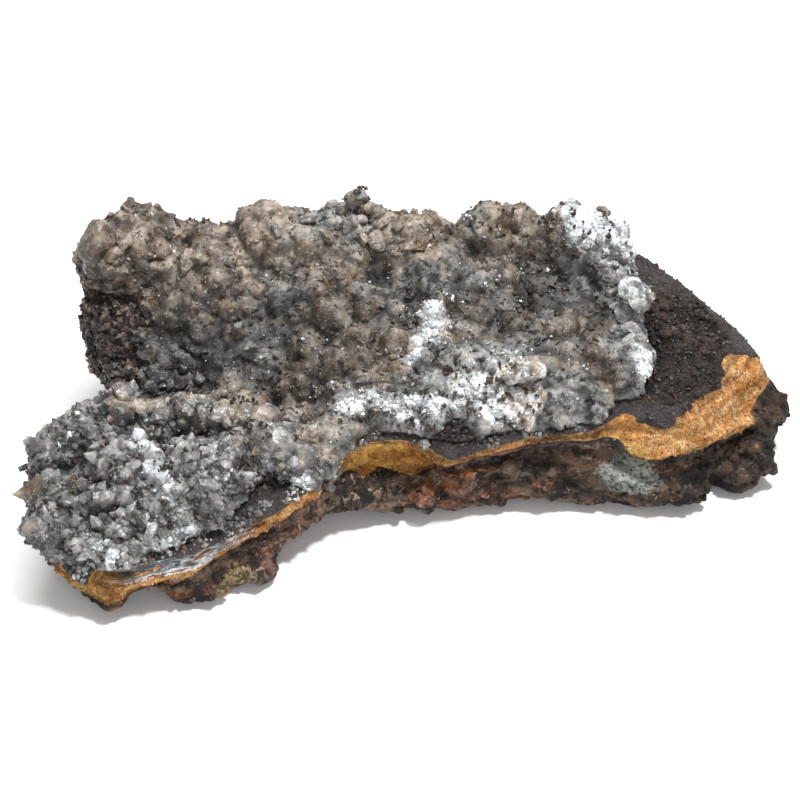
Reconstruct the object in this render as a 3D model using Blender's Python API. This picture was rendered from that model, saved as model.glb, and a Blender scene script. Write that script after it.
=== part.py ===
"""A chalcedony specimen: a crust of smoky and frosted crystals on a layered ironstone plate.

The plate is one rock. From the top it has a dark goethite skin, a bed of sandy ochre and a dark brown mass that
it rests on. Its broken edge shows all three. The crust lies on the skin and leaves it bare on a dome at the right.
X runs along the specimen, Y away from the viewer and Z up. Sizes and places below are in millimetres.
"""
import math

import bmesh
import bpy
import numpy as np
from mathutils import Matrix, Vector, noise
from mathutils.geometry import delaunay_2d_cdt

MM = 0.001
SEED = 7

# Heights of the skin's upper face.
RIM_HEIGHT = 20.0
FRONT_RIM_Y = -16.0
SLOPE = 0.25
SLOPE_GAIN = 0.0006
DOME_START_X = 58.0
DOME_LENGTH = 28.0
DOME_DROP = 11.0
BACK_ROUND_Y = 33.0
BACK_ROUND = 0.13
TROUGH_ENDS = ((-66.0, 4.0), (-26.0, -4.0))
TROUGH_DEPTH = 7.5
TROUGH_WIDTH = 8.0

# Thicknesses of the beds, from the top down.
SKIN = 1.6
OCHRE = 5.0
UNDERCUT_DROP = 1.7
SOLE_RUN = 9.0
LEAST_BODY = 2.6
CRUST = 1.6
CRUST_SKIRT = 2.6
CRUST_GAP = 0.35

# How finely each face is divided.
RIM_STEPS = 92
CRUST_STEPS = 128
DOME_SPACING = 5.0
HIDDEN_SPACING = 11.0
SOLE_SPACING = 12.0
CRUST_SPACING = 3.2
CRUST_SEAT_SPACING = 14.0

# The plate's edge, from its right tip along the front, round the left lobe and back along the rear.
# Each row: x, y, width of ochre left bare, undercut below the lip, inset of the toe, height of the toe.
RIM = (
    (88.0, 9.0, 3.5, 1.5, 3.5, 5.0),
    (85.0, 1.5, 7.0, 3.0, 2.5, 2.0),
    (76.5, -4.5, 9.0, 3.5, 0.5, 0.0),
    (69.0, -11.5, 9.0, 3.0, 0.0, 0.0),
    (62.0, -16.5, 6.0, 2.5, 1.5, 0.0),
    (54.5, -19.7, 8.5, 2.5, 1.5, 0.0),
    (47.0, -17.8, 6.0, 2.0, 0.5, 0.0),
    (40.5, -16.5, 2.0, 2.0, 0.0, 0.0),
    (32.0, -15.8, 0.6, 2.0, -1.0, 3.0),
    (21.5, -18.0, 0.6, 4.0, 1.0, 3.0),
    (12.5, -21.5, 0.5, 5.0, 2.0, 2.0),
    (6.0, -18.7, 0.5, 4.5, -0.5, 2.0),
    (0.0, -16.5, 0.5, 4.5, -4.5, 3.5),
    (-6.5, -16.6, 0.5, 4.5, -5.5, 4.5),
    (-11.7, -20.0, 0.6, 1.5, -4.5, 6.5),
    (-14.8, -25.7, 0.8, 1.0, -1.0, 8.0),
    (-21.0, -31.5, 1.0, 1.0, 0.0, 7.5),
    (-27.0, -36.7, 1.2, 1.0, 0.5, 4.0),
    (-33.0, -41.6, 1.4, 1.5, 0.5, 0.0),
    (-41.0, -46.0, 1.6, 2.0, 0.0, 0.0),
    (-48.0, -48.3, 1.8, 2.5, 2.0, 1.0),
    (-55.0, -50.3, 2.0, 1.0, 4.0, 5.0),
    (-61.0, -51.3, 2.5, 0.5, 3.0, 5.5),
    (-66.6, -48.8, 2.0, 0.5, 2.5, 6.0),
    (-71.0, -44.5, 1.0, 0.5, 3.0, 7.0),
    (-74.0, -38.0, 0.5, 0.5, 4.0, 8.0),
    (-75.5, -31.0, 0.5, 0.5, 5.0, 8.0),
    (-74.5, -23.0, 0.5, 0.5, 5.0, 8.0),
    (-71.0, -14.5, 0.5, 0.5, 5.0, 8.0),
    (-67.0, -7.0, 0.5, 0.5, 4.0, 8.0),
    (-65.0, -1.0, 0.5, 0.5, 3.0, 8.0),
    (-66.0, 5.0, 0.5, 0.5, 3.0, 8.0),
    (-67.5, 11.0, 0.5, 0.5, 2.0, 8.0),
    (-70.5, 17.5, 0.5, 0.5, 2.0, 9.0),
    (-73.0, 24.5, 0.5, 0.5, 1.0, 9.0),
    (-73.0, 32.0, 0.5, 1.0, 2.5, 9.0),
    (-67.5, 39.0, 0.5, 1.5, 5.0, 8.0),
    (-54.0, 43.5, 0.8, 2.0, 6.0, 8.0),
    (-30.0, 44.5, 1.0, 2.0, 5.0, 6.0),
    (-5.0, 42.5, 1.0, 1.5, 5.0, 7.0),
    (20.0, 44.5, 1.0, 2.0, 5.0, 6.0),
    (44.0, 43.5, 1.0, 2.0, 6.0, 7.0),
    (57.5, 34.5, 1.0, 1.5, 5.0, 7.0),
    (69.5, 25.5, 1.0, 1.0, 4.0, 6.0),
    (81.5, 17.5, 1.0, 1.0, 3.5, 5.0),
)

# The crust's edge in plan, in the same order as the plate's: x, y.
CRUST_EDGE = (
    (55.0, 20.0), (54.0, 13.5), (56.0, 6.5), (55.0, 0.0), (51.5, -6.0), (47.0, -7.0), (42.0, -12.5),
    (32.0, -13.6), (22.0, -15.2), (15.0, -17.2), (8.0, -16.6), (0.0, -14.8), (-7.0, -15.6), (-11.0, -19.0),
    (-13.6, -25.0), (-19.5, -29.5), (-23.0, -26.5), (-30.0, -27.5), (-33.0, -33.0), (-38.5, -38.5),
    (-46.0, -43.5), (-54.0, -47.0), (-61.0, -48.5), (-67.0, -46.8), (-72.5, -44.5), (-77.0, -38.5),
    (-78.5, -32.0), (-77.0, -24.0), (-73.0, -15.0), (-68.0, -8.0), (-62.0, -3.0), (-58.0, 3.0),
    (-57.0, 10.0), (-56.5, 16.0), (-60.0, 22.0), (-67.0, 23.5), (-74.5, 26.5), (-74.5, 31.0), (-70.0, 36.0),
    (-65.0, 39.5), (-55.0, 42.5), (-30.0, 43.5), (-5.0, 41.5), (20.0, 43.5), (42.0, 42.5), (49.5, 38.5),
    (53.0, 33.0), (54.5, 27.0),
)

# Broad mounds and hollows of the crust: x, y, radius, height.
MOUNDS = (
    (-59.0, 38.0, 10.0, 4.5),
    (-68.0, 29.0, 6.0, 2.5),
    (-47.0, 30.0, 13.0, 2.0),
    (-30.0, 37.0, 9.0, 4.0),
    (-13.0, 36.0, 10.0, 4.5),
    (-22.0, 26.0, 12.0, 3.0),
    (-40.0, 14.0, 9.0, 2.5),
    (5.0, 33.0, 10.0, 2.5),
    (20.0, 40.0, 7.0, 5.5),
    (29.0, 40.0, 6.0, 5.0),
    (39.0, 36.5, 9.0, 5.0),
    (47.0, 25.0, 8.0, 3.0),
    (34.0, 27.0, 5.0, -3.5),
    (24.0, 22.0, 9.0, 1.5),
    (-4.0, 20.0, 7.0, -1.5),
    (-9.0, 9.0, 13.0, 3.0),
    (10.0, 8.0, 8.0, 3.0),
    (30.0, 6.0, 10.0, 2.5),
    (47.0, 8.0, 9.0, 2.5),
    (46.0, -2.0, 7.0, 2.0),
    (8.0, -10.0, 9.0, 1.5),
    (-22.0, -8.0, 9.0, 2.0),
    (-60.0, -12.0, 8.0, 4.0),
    (-45.0, -13.0, 9.0, 3.5),
    (-66.0, -27.0, 9.0, 3.0),
    (-52.0, -29.0, 9.0, 2.5),
    (-36.0, -26.0, 7.0, 2.5),
    (-66.0, -41.0, 6.0, 2.0),
)

# Random rounded lumps that cover the crust, large and small. Each row: count, least and greatest radius, rise as a
# share of the radius.
LUMPS = (
    (85, 5.5, 9.5, 0.42),
    (330, 2.6, 5.0, 0.42),
)

# The finest unevenness of the crust.
CRAG_SIZE = 2.6
CRAG_RISE = 1.0

# Single crystals that stand out: x, y, height above the crust, length, width, depth, heading, lean, kind.
KEY_CRYSTALS = (
    (-8.5, 38.5, 2.0, 5.0, 4.5, 4.5, 20, 5, "block"),
    (-10.0, 39.0, 5.5, 4.8, 4.2, 4.2, 60, 15, "block"),
    (-5.8, 37.8, 3.0, 4.4, 4.0, 4.0, 10, 30, "block"),
    (27.0, -6.0, 2.0, 10.0, 9.0, 2.6, 200, 48, "plate"),
    (31.0, -3.0, 1.8, 8.0, 6.5, 2.4, 160, 40, "plate"),
    (51.5, 12.5, 2.2, 8.0, 7.0, 2.4, 120, 55, "plate"),
    (54.0, 16.0, 1.6, 6.5, 5.5, 2.4, 80, 60, "plate"),
    (49.0, 30.0, 2.6, 6.0, 5.0, 4.0, 50, 20, "block"),
    (46.0, 40.0, 2.2, 5.5, 5.0, 4.5, 30, 10, "block"),
    (36.0, 43.0, 1.8, 5.0, 5.0, 4.5, 70, 10, "block"),
    (8.0, 2.0, 2.2, 7.0, 6.0, 4.5, 10, 25, "block"),
    (5.0, -3.0, 1.8, 7.5, 5.5, 3.5, 300, 35, "plate"),
    (-76.5, -33.0, -0.5, 9.0, 5.0, 2.8, 255, 76, "point"),
    (-75.0, -21.0, 1.0, 7.0, 6.0, 2.4, 300, 62, "plate"),
    (-74.5, -26.5, 0.8, 7.0, 6.0, 2.4, 280, 66, "plate"),
    (-77.5, -38.5, -0.5, 5.5, 4.5, 3.6, 240, 50, "block"),
    (-73.5, 27.0, 0.8, 7.0, 6.0, 4.0, 280, 35, "block"),
    (-66.5, 26.5, 1.0, 8.0, 6.0, 4.0, 200, 30, "block"),
    (-66.0, 35.0, 0.2, 5.5, 5.0, 4.0, 320, 20, "block"),
    (-55.0, 24.0, 1.0, 9.0, 7.0, 3.0, 190, 45, "plate"),
    (-57.0, 12.0, 0.6, 7.5, 6.0, 4.0, 210, 55, "block"),
    (-40.0, 19.0, 1.6, 8.0, 7.0, 3.4, 190, 45, "plate"),
    (-33.0, -30.5, 0.8, 6.5, 6.0, 4.0, 150, 40, "block"),
    (-19.0, -25.5, 0.6, 7.5, 6.5, 3.6, 170, 40, "block"),
    (-23.0, -18.0, 1.2, 8.0, 7.0, 4.0, 150, 35, "block"),
)
SMALL_CRYSTALS = 50
SMALL_SIZES = (3.0, 5.6)

# Each kind of crystal: its number of sides, and its width as a share at heights from -0.5 to 0.5.
CRYSTAL_KINDS = {
    "plate": (6, ((0.8, -0.5), (1.0, 0.1), (0.7, 0.5))),
    "block": (4, ((0.95, -0.5), (1.0, 0.1), (0.5, 0.5))),
    "point": (6, ((0.8, -0.5), (0.9, 0.0), (0.08, 0.5))),
}

# Lumps of the brown mass that stand out below the lip: x, y, z, half length, half depth, half height.
KNOBS = (
    (79.5, -6.5, 7.5, 4.6, 5.0, 4.0),
    (80.5, 0.5, 9.0, 4.0, 5.5, 3.6),
    (74.5, -10.0, 3.8, 5.0, 4.0, 3.6),
    (62.5, -14.0, 5.0, 6.5, 5.0, 4.8),
    (50.0, -15.0, 6.0, 8.0, 4.5, 5.8),
    (43.0, -14.6, 4.5, 5.0, 4.2, 4.3),
    (32.0, -13.8, 7.5, 6.0, 4.2, 4.2),
    (5.5, -18.6, 5.0, 3.2, 3.4, 3.4),
    (-30.0, -37.5, 3.6, 4.2, 4.6, 3.4),
    (-42.0, -43.5, 4.0, 6.5, 5.0, 3.9),
    (40.0, 40.0, 12.0, 12.0, 6.0, 9.0),
    (-30.0, 41.0, 12.0, 13.0, 6.0, 8.0),
    (70.0, 24.0, 9.0, 10.0, 8.0, 7.0),
)


def start_empty():
    """Removes whatever the scene holds."""
    for obj in list(bpy.data.objects):
        bpy.data.objects.remove(obj)


def collection(name):
    made = bpy.data.collections.new(name)
    bpy.context.scene.collection.children.link(made)
    return made


def material(name, colour, roughness, transmission=0.0):
    made = bpy.data.materials.new(name)
    made.use_nodes = True
    shader = made.node_tree.nodes["Principled BSDF"]
    shader.inputs["Base Color"].default_value = (*colour, 1.0)
    shader.inputs["Roughness"].default_value = roughness
    shader.inputs["Metallic"].default_value = 0.0
    shader.inputs["Transmission Weight"].default_value = transmission
    return made


def object_of(name, points, faces, home, finish=None):
    """A mesh object from points in millimetres, with its faces turned outwards."""
    mesh = bpy.data.meshes.new(name)
    mesh.from_pydata((np.asarray(points) * MM).tolist(), [], [list(map(int, face)) for face in faces])
    work = bmesh.new()
    work.from_mesh(mesh)
    bmesh.ops.recalc_face_normals(work, faces=work.faces)
    work.to_mesh(mesh)
    work.free()
    obj = bpy.data.objects.new(name, mesh)
    home.objects.link(obj)
    if finish:
        mesh.materials.append(finish)
    return obj


def as_helper(obj):
    obj.hide_render = True
    obj.display_type = "WIRE"
    return obj


def closed_curve(rows, count):
    """Rows of numbers round a closed loop, read at count even steps of its length by Catmull-Rom curves."""
    rows = np.asarray(rows, float)
    share = np.linspace(0.0, 1.0, 24, endpoint=False)[:, None]
    before, ahead, after = np.roll(rows, 1, 0), np.roll(rows, -1, 0), np.roll(rows, -2, 0)
    fine = np.concatenate([
        0.5 * (2 * b + (c - a) * share + (2 * a - 5 * b + 4 * c - d) * share**2 + (3 * b - a - 3 * c + d) * share**3)
        for a, b, c, d in zip(before, rows, ahead, after)
    ])
    closed = np.vstack([fine, fine[:1]])
    along = np.concatenate([[0.0], np.cumsum(np.linalg.norm(np.diff(closed[:, :2], axis=0), axis=1))])
    steps = np.linspace(0.0, along[-1], count, endpoint=False)
    return np.stack([np.interp(steps, along, column) for column in closed.T], axis=1)


def outward(loop):
    """Unit vectors in plan that point out of a loop given clockwise as seen from above."""
    along = np.roll(loop, -1, 0)[:, :2] - np.roll(loop, 1, 0)[:, :2]
    across = np.stack([-along[:, 1], along[:, 0]], axis=1)
    return across / np.linalg.norm(across, axis=1, keepdims=True)


def inside(points, loop):
    """Which points of the plan lie inside a loop, by counting the edges that a line to the right crosses."""
    x, y = points[:, :1], points[:, 1:2]
    ax, ay = loop[:, 0], loop[:, 1]
    bx, by = np.roll(ax, -1), np.roll(ay, -1)
    crosses = (ay > y) != (by > y)
    at = ax + (y - ay) / np.where(by == ay, 1e-9, by - ay) * (bx - ax)
    return (crosses & (x < at)).sum(axis=1) % 2 == 1


def to_loop(points, loop):
    """Distance in plan from each point to the nearest point of a loop."""
    return np.linalg.norm(points[:, None, :2] - loop[None, :, :2], axis=2).min(axis=1)


def to_segment(x, y, ends):
    """Distance in plan from x, y to the segment between two ends."""
    (ax, ay), (bx, by) = ends
    share = ((x - ax) * (bx - ax) + (y - ay) * (by - ay)) / ((bx - ax) ** 2 + (by - ay) ** 2)
    share = np.clip(share, 0.0, 1.0)
    return np.hypot(x - ax - share * (bx - ax), y - ay - share * (by - ay))


def rough(points, size, seed):
    """Smooth noise from -1 to 1 at each point, with bumps about as wide as size."""
    return np.array([noise.fractal(Vector(p) / size + Vector((seed, 0, 0)), 0.7, 2.1, 2) for p in points])


def fill(loop, spacing, seed, coarse=None):
    """Triangles in plan that fill a loop: its own points, then a jittered grid of points inside it.

    coarse, where given, tells which grid points of the fine grid are thinned to the hidden spacing."""
    loop = loop[:, :2]
    random = np.random.default_rng(seed)
    low, high = loop.min(axis=0), loop.max(axis=0)
    rows = np.arange(low[1], high[1], spacing * 0.866)
    grid = np.array([
        (x + (i % 2) * spacing / 2, y)
        for i, y in enumerate(rows)
        for x in np.arange(low[0], high[0], spacing)
    ])
    grid += random.uniform(-0.28, 0.28, grid.shape) * spacing
    if coarse is not None:
        keep_share = (spacing / HIDDEN_SPACING) ** 2
        grid = grid[~coarse(grid) | (random.random(len(grid)) < keep_share)]
    grid = grid[inside(grid, loop) & (to_loop(grid, loop) > 0.55 * spacing)]
    plan = np.vstack([loop, grid])
    edges = [(i, (i + 1) % len(loop)) for i in range(len(loop))]
    faces = np.array(delaunay_2d_cdt([Vector(p) for p in plan], edges, [], 0, 1e-5)[2])
    return plan, faces[inside(plan[faces].mean(axis=1), loop)]


def strip(first, second, count):
    """Triangles between two rings of count points, whose first points have these numbers."""
    faces = []
    for i in range(count):
        j = (i + 1) % count
        faces += [(first + i, first + j, second + j), (first + i, second + j, second + i)]
    return faces


def lidded(rings, top, bottom):
    """A closed solid from rings of points, top to bottom, whose first and last are filled.

    top and bottom are (plan, faces) from fill() for those two rings, and their heights as functions of the plan."""
    count = len(rings[0])
    points = list(np.concatenate(rings))
    faces = [face for k in range(len(rings) - 1) for face in strip(k * count, (k + 1) * count, count)]
    for ring_start, (plan, triangles), height in ((0, *top), ((len(rings) - 1) * count, *bottom)):
        within = plan[count:]
        number = list(range(ring_start, ring_start + count)) + list(range(len(points), len(points) + len(within)))
        points += list(np.column_stack([within, height(within)]))
        faces += [tuple(number[i] for i in face) for face in triangles]
    return np.array(points), faces


def skin_top(x, y):
    """Height of the goethite skin: a slope that steepens backwards, a trough at the left and a dome at the right."""
    back = y - FRONT_RIM_Y
    height = RIM_HEIGHT + SLOPE * back + SLOPE_GAIN * back**2
    height = height - DOME_DROP * (np.clip(x - DOME_START_X, 0.0, None) / DOME_LENGTH) ** 1.6
    height = height - BACK_ROUND * np.clip(y - BACK_ROUND_Y, 0.0, None) ** 1.5
    return height - TROUGH_DEPTH * np.exp(-0.5 * (to_segment(x, y, TROUGH_ENDS) / TROUGH_WIDTH) ** 2)


def plate_solid():
    """Points and faces of the plate: its edge as rings from the skin down to the toe, then its top and its sole."""
    rim = closed_curve(RIM, RIM_STEPS)
    out = outward(rim)
    x, y, bare, under, toe, lift = rim.T
    brow = skin_top(x, y)
    below = brow - OCHRE - UNDERCUT_DROP
    lift = np.minimum(lift, below - LEAST_BODY)
    height = below - lift

    def ring(inset, z, ragged):
        flat = np.column_stack([x - out[:, 0] * inset, y - out[:, 1] * inset])
        shift = rough(np.column_stack([x, y, 0.5 * z]), 7.0, SEED) * ragged
        return np.column_stack([flat + out * shift[:, None], z])

    edge = ring(bare + 0.5, brow, 0.5)
    edge[:, 2] = skin_top(edge[:, 0], edge[:, 1])
    foot = ring(bare, edge[:, 2] - SKIN, 0.5)
    rings = [
        edge,
        foot,
        ring(0.35 * bare + 0.4, brow - SKIN - 0.8, 0.8),
        ring(0.0 * bare, brow - 0.62 * OCHRE, 1.1),
        ring(0.6 + 0.1 * under, brow - OCHRE, 0.9),
        ring(under, below, 1.0),
        ring(0.65 * under + 0.2 * toe - 0.6, lift + 0.68 * height, 1.2),
        ring(0.25 * under + 0.6 * toe - 0.8, lift + 0.38 * height, 1.3),
        ring(toe, lift + 0.12 * height, 1.1),
        ring(toe + 2.2, np.maximum(lift - 1.5, 0.0), 1.0),
    ]

    def top_height(plan):
        bumps = rough(np.column_stack([plan, plan[:, 0] * 0]), 8.0, 3.0)
        return skin_top(plan[:, 0], plan[:, 1]) + 0.7 * bumps * ~under_crust(plan)

    def sole_height(plan):
        nearest = np.linalg.norm(plan[:, None] - rings[-1][None, :, :2], axis=2)
        edge_height = rings[-1][nearest.argmin(axis=1), 2]
        return np.maximum(edge_height * (1 - nearest.min(axis=1) / SOLE_RUN), 0.0)

    top = fill(rings[0], DOME_SPACING, SEED, under_crust)
    sole = fill(rings[-1], SOLE_SPACING, SEED + 1)
    return lidded(rings, (top, top_height), (sole, sole_height))


def under_crust(plan):
    """Which points of the plan the crust covers well inside its edge."""
    edge = closed_curve(CRUST_EDGE, 200)
    return inside(plan, edge) & (to_loop(plan, edge) > 1.0)


def crust_lumps():
    """The random lumps of each size: centres in plan, radii, rise."""
    random = np.random.default_rng(SEED + 2)
    edge = closed_curve(CRUST_EDGE, 200)
    families = []
    for count, least, greatest, rise in LUMPS:
        centres = random.uniform(edge.min(axis=0), edge.max(axis=0), (count * 3, 2))
        centres = centres[inside(centres, edge)][:count]
        families.append((centres, random.uniform(least, greatest, len(centres)), rise))
    return families


def crust_top(plan, lumps):
    """Height of the crust: the skin, an even thickness, broad mounds as bell curves, and lumps as round caps."""
    x, y = plan.T
    height = skin_top(x, y) + CRUST
    for mound_x, mound_y, radius, rise in MOUNDS:
        height = height + rise * np.exp(-1.2 * ((x - mound_x) ** 2 + (y - mound_y) ** 2) / radius**2)
    for centres, radii, rise in lumps:
        apart = ((plan[:, None] - centres[None]) ** 2).sum(axis=2)
        caps = np.sqrt(np.clip(radii**2 - apart, 0.0, None)) * rise
        height = height + caps.max(axis=1)
    return height + CRAG_RISE * rough(np.column_stack([plan, plan[:, 0] * 0]), CRAG_SIZE, SEED + 6)


def crust_sheet(lumps):
    """Points and faces of the crust's sheet, which reaches down into the plate before the plate is cut from it."""
    edge = closed_curve(CRUST_EDGE, CRUST_STEPS)
    edge += outward(edge) * rough(np.column_stack([edge, edge[:, 0] * 0]), 3.5, 5.0)[:, None] * 1.6
    out = outward(edge)
    x, y = edge.T
    crown = edge - out * 1.6
    skirt = edge - out * 1.2
    rings = [
        np.column_stack([crown, skin_top(*crown.T) + 2.8]),
        np.column_stack([edge, skin_top(x, y) + 0.9]),
        np.column_stack([skirt, skin_top(*skirt.T) - CRUST_SKIRT]),
    ]
    top = fill(rings[0], CRUST_SPACING, SEED + 3)
    seat = fill(rings[-1], CRUST_SEAT_SPACING, SEED + 4)
    return lidded(
        rings,
        (top, lambda plan: crust_top(plan, lumps)),
        (seat, lambda plan: skin_top(*plan.T) - CRUST_SKIRT),
    )


def crystal_shape(kind):
    """Points and faces of one crystal within a unit box, standing along Z: a plate, a block or a point."""
    sides, levels = CRYSTAL_KINDS[kind]
    turn = np.arange(sides) * 2 * math.pi / sides
    ring = np.column_stack([np.cos(turn), np.sin(turn)]) / 2
    points = np.concatenate([np.column_stack([ring * wide, np.full(sides, z)]) for wide, z in levels])
    faces = [face for k in range(len(levels) - 1) for face in strip(k * sides, (k + 1) * sides, sides)]
    last = sides * (len(levels) - 1)
    return points, faces + [tuple(range(sides - 1, -1, -1)), tuple(range(last, last + sides))]


def placed(kind, centre, length, width, depth, heading, lean, spin):
    """One crystal's points. A plate's depth is along its own Z, and a point or block has its length there."""
    points, faces = crystal_shape(kind)
    size = (length, width, depth) if kind == "plate" else (width, depth, length)
    turn = (
        Matrix.Rotation(math.radians(heading), 3, "Z")
        @ Matrix.Rotation(math.radians(lean), 3, "X")
        @ Matrix.Rotation(math.radians(spin), 3, "Z")
    )
    return (points * size) @ np.array(turn).T + centre, faces


def crust_crystals(lumps):
    """Points and faces of all the crystals that stand out of the crust, the chosen ones and the random ones."""
    random = np.random.default_rng(SEED + 5)
    edge = closed_curve(CRUST_EDGE, 200)
    shapes = []
    for x, y, above, length, width, depth, heading, lean, kind in KEY_CRYSTALS:
        level = crust_top(np.array([[x, y]]), lumps)[0] + above - 1.5
        shapes.append(placed(kind, (x, y, level), length, width, depth, heading, lean, 15))
    spots = random.uniform(edge.min(axis=0), edge.max(axis=0), (SMALL_CRYSTALS * 4, 2))
    spots = spots[inside(spots, edge) & (to_loop(spots, edge) > 1.6)][:SMALL_CRYSTALS]
    levels = crust_top(spots, lumps)
    for (x, y), level in zip(spots, levels):
        kind = random.choice(["plate", "block", "block", "point"])
        size = random.uniform(*SMALL_SIZES)
        heading, lean, spin = random.uniform((0, 0, 0), (360, 48, 60))
        width = size * random.uniform(0.7, 0.95)
        depth = size * (0.45 if kind == "plate" else 0.8)
        shapes.append(placed(kind, (x, y, level - 0.1 * size), size, width, depth, heading, lean, spin))
    points, faces = [], []
    for shape, triangles in shapes:
        faces += [tuple(len(points) + i for i in face) for face in triangles]
        points += list(shape)
    return np.array(points), faces


def knob(number, x, y, z, half_length, half_depth, half_height, home):
    """A rough lump of the brown mass, flat where it would reach below the floor."""
    work = bmesh.new()
    bmesh.ops.create_icosphere(work, subdivisions=2, radius=1.0)
    for vert in work.verts:
        push = 1.0 + 0.22 * noise.fractal(vert.co * 1.4 + Vector((number, 0, 0)), 0.7, 2.1, 2)
        place = Vector((x, y, z)) + push * vert.co * Vector((half_length, half_depth, half_height))
        vert.co = (place.x, place.y, max(place.z, 0.0))
    mesh = bpy.data.meshes.new(f"knob_{number}")
    work.to_mesh(mesh)
    work.free()
    mesh.transform(Matrix.Scale(MM, 4))
    obj = bpy.data.objects.new(f"knob_{number}", mesh)
    home.objects.link(obj)
    return as_helper(obj)


def grown(obj, by, name, home):
    """A copy of an object whose surface has moved out by a distance."""
    mesh = obj.data.copy()
    for vert, normal in zip(mesh.vertices, [Vector(corner.vector) for corner in obj.data.vertex_normals]):
        vert.co += by * MM * normal
    made = bpy.data.objects.new(name, mesh)
    home.objects.link(made)
    return as_helper(made)


def combine(obj, operation, other=None, others=None, overlapping=False):
    modifier = obj.modifiers.new(operation.lower(), "BOOLEAN")
    modifier.operation = operation
    modifier.solver = "EXACT"
    modifier.use_self = overlapping
    if others:
        modifier.operand_type = "COLLECTION"
        modifier.collection = others
    else:
        modifier.object = other


def settle(obj):
    """Applies an object's modifiers, keeps its largest body and drops loose crumbs."""
    graph = bpy.context.evaluated_depsgraph_get()
    mesh = bpy.data.meshes.new_from_object(obj.evaluated_get(graph))
    obj.modifiers.clear()
    obj.data = mesh
    work = bmesh.new()
    work.from_mesh(mesh)
    bmesh.ops.remove_doubles(work, verts=work.verts, dist=0.02 * MM)
    seen, bodies = set(), []
    for start in work.verts:
        if start in seen:
            continue
        body, queue = [], [start]
        seen.add(start)
        while queue:
            vert = queue.pop()
            body.append(vert)
            for edge in vert.link_edges:
                near = edge.other_vert(vert)
                if near not in seen:
                    seen.add(near)
                    queue.append(near)
        bodies.append(body)
    bodies.sort(key=len)
    for body in bodies[:-1]:
        bmesh.ops.delete(work, geom=body, context="VERTS")
    bmesh.ops.triangulate(work, faces=work.faces)
    work.to_mesh(mesh)
    work.free()
    mesh.update()


def centre_on_origin(objects):
    """Moves the specimen so that the middle of its box's underside is at the origin."""
    corners = np.array([tuple(vert.co) for obj in objects for vert in obj.data.vertices])
    middle = (corners.min(axis=0) + corners.max(axis=0)) / 2
    shift = Matrix.Translation((-middle[0], -middle[1], -corners[:, 2].min()))
    for obj in objects:
        obj.data.transform(shift)
    print("moved by mm", [round(-1000 * float(v), 2) for v in (middle[0], middle[1], corners[:, 2].min())])


def main():
    start_empty()
    specimen = collection("chalcedony_on_ironstone")
    helpers = collection("helpers")
    knobs = collection("knobs")
    ironstone = material("ironstone", (0.075, 0.048, 0.035), 0.85)
    chalcedony = material("chalcedony", (0.52, 0.47, 0.43), 0.35, 0.25)

    plate = object_of("ironstone_matrix", *plate_solid(), specimen, ironstone)
    room = grown(plate, CRUST_GAP, "room_for_plate", helpers)
    for number, values in enumerate(KNOBS):
        knob(number, *values, knobs)
    combine(plate, "UNION", others=knobs, overlapping=True)
    settle(plate)

    lumps = crust_lumps()
    crust = object_of("chalcedony_crust", *crust_sheet(lumps), specimen, chalcedony)
    crystals = as_helper(object_of("crystals", *crust_crystals(lumps), helpers))
    combine(crust, "UNION", other=crystals, overlapping=True)
    combine(crust, "DIFFERENCE", other=room)
    settle(crust)
    centre_on_origin([plate, crust])


main()
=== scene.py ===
"""The looks of a chalcedony specimen: rosettes of smoky and frosted crystals on layered ironstone.

Lengths are in millimetres in the tables and in metres in the meshes. A "plan" is a pair x, y in the part's
own drawing, whose zero lies at PLAN_ZERO in the frame. Colours are 0 to 255, as on a screen.
"""
import math

import bmesh
import bpy
import numpy as np
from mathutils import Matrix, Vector
from mathutils.bvhtree import BVHTree


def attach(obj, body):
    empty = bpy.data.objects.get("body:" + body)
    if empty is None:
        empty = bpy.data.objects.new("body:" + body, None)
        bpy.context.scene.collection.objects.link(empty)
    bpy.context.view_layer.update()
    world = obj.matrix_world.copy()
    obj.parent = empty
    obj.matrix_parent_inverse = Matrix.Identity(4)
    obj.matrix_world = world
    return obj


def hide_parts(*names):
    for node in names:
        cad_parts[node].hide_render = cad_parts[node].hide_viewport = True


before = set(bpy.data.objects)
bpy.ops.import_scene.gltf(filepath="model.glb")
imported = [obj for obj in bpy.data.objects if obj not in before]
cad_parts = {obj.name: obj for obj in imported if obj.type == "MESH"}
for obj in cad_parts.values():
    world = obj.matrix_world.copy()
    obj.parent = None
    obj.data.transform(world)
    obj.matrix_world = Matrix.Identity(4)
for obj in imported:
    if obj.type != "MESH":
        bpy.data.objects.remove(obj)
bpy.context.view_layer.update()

MM = 0.001
PLAN_ZERO = np.array((-3.61, 2.63))

# The camera: a long lens, well above the specimen.
ELEVATION = 38.0
DISTANCE = 419.3
LENS = 85.0
AIM_HEIGHT = 18.0

# The upper face of the goethite skin, as the part has it.
RIM_HEIGHT = 20.0
FRONT_RIM_Y = -16.0
SLOPE = 0.25
SLOPE_GAIN = 0.0006
DOME_START_X = 58.0
DOME_LENGTH = 28.0
DOME_DROP = 11.0
BACK_ROUND_Y = 33.0
BACK_ROUND = 0.13
TROUGH_ENDS = ((-66.0, 4.0), (-26.0, -4.0))
TROUGH_DEPTH = 7.5
TROUGH_WIDTH = 8.0

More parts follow.
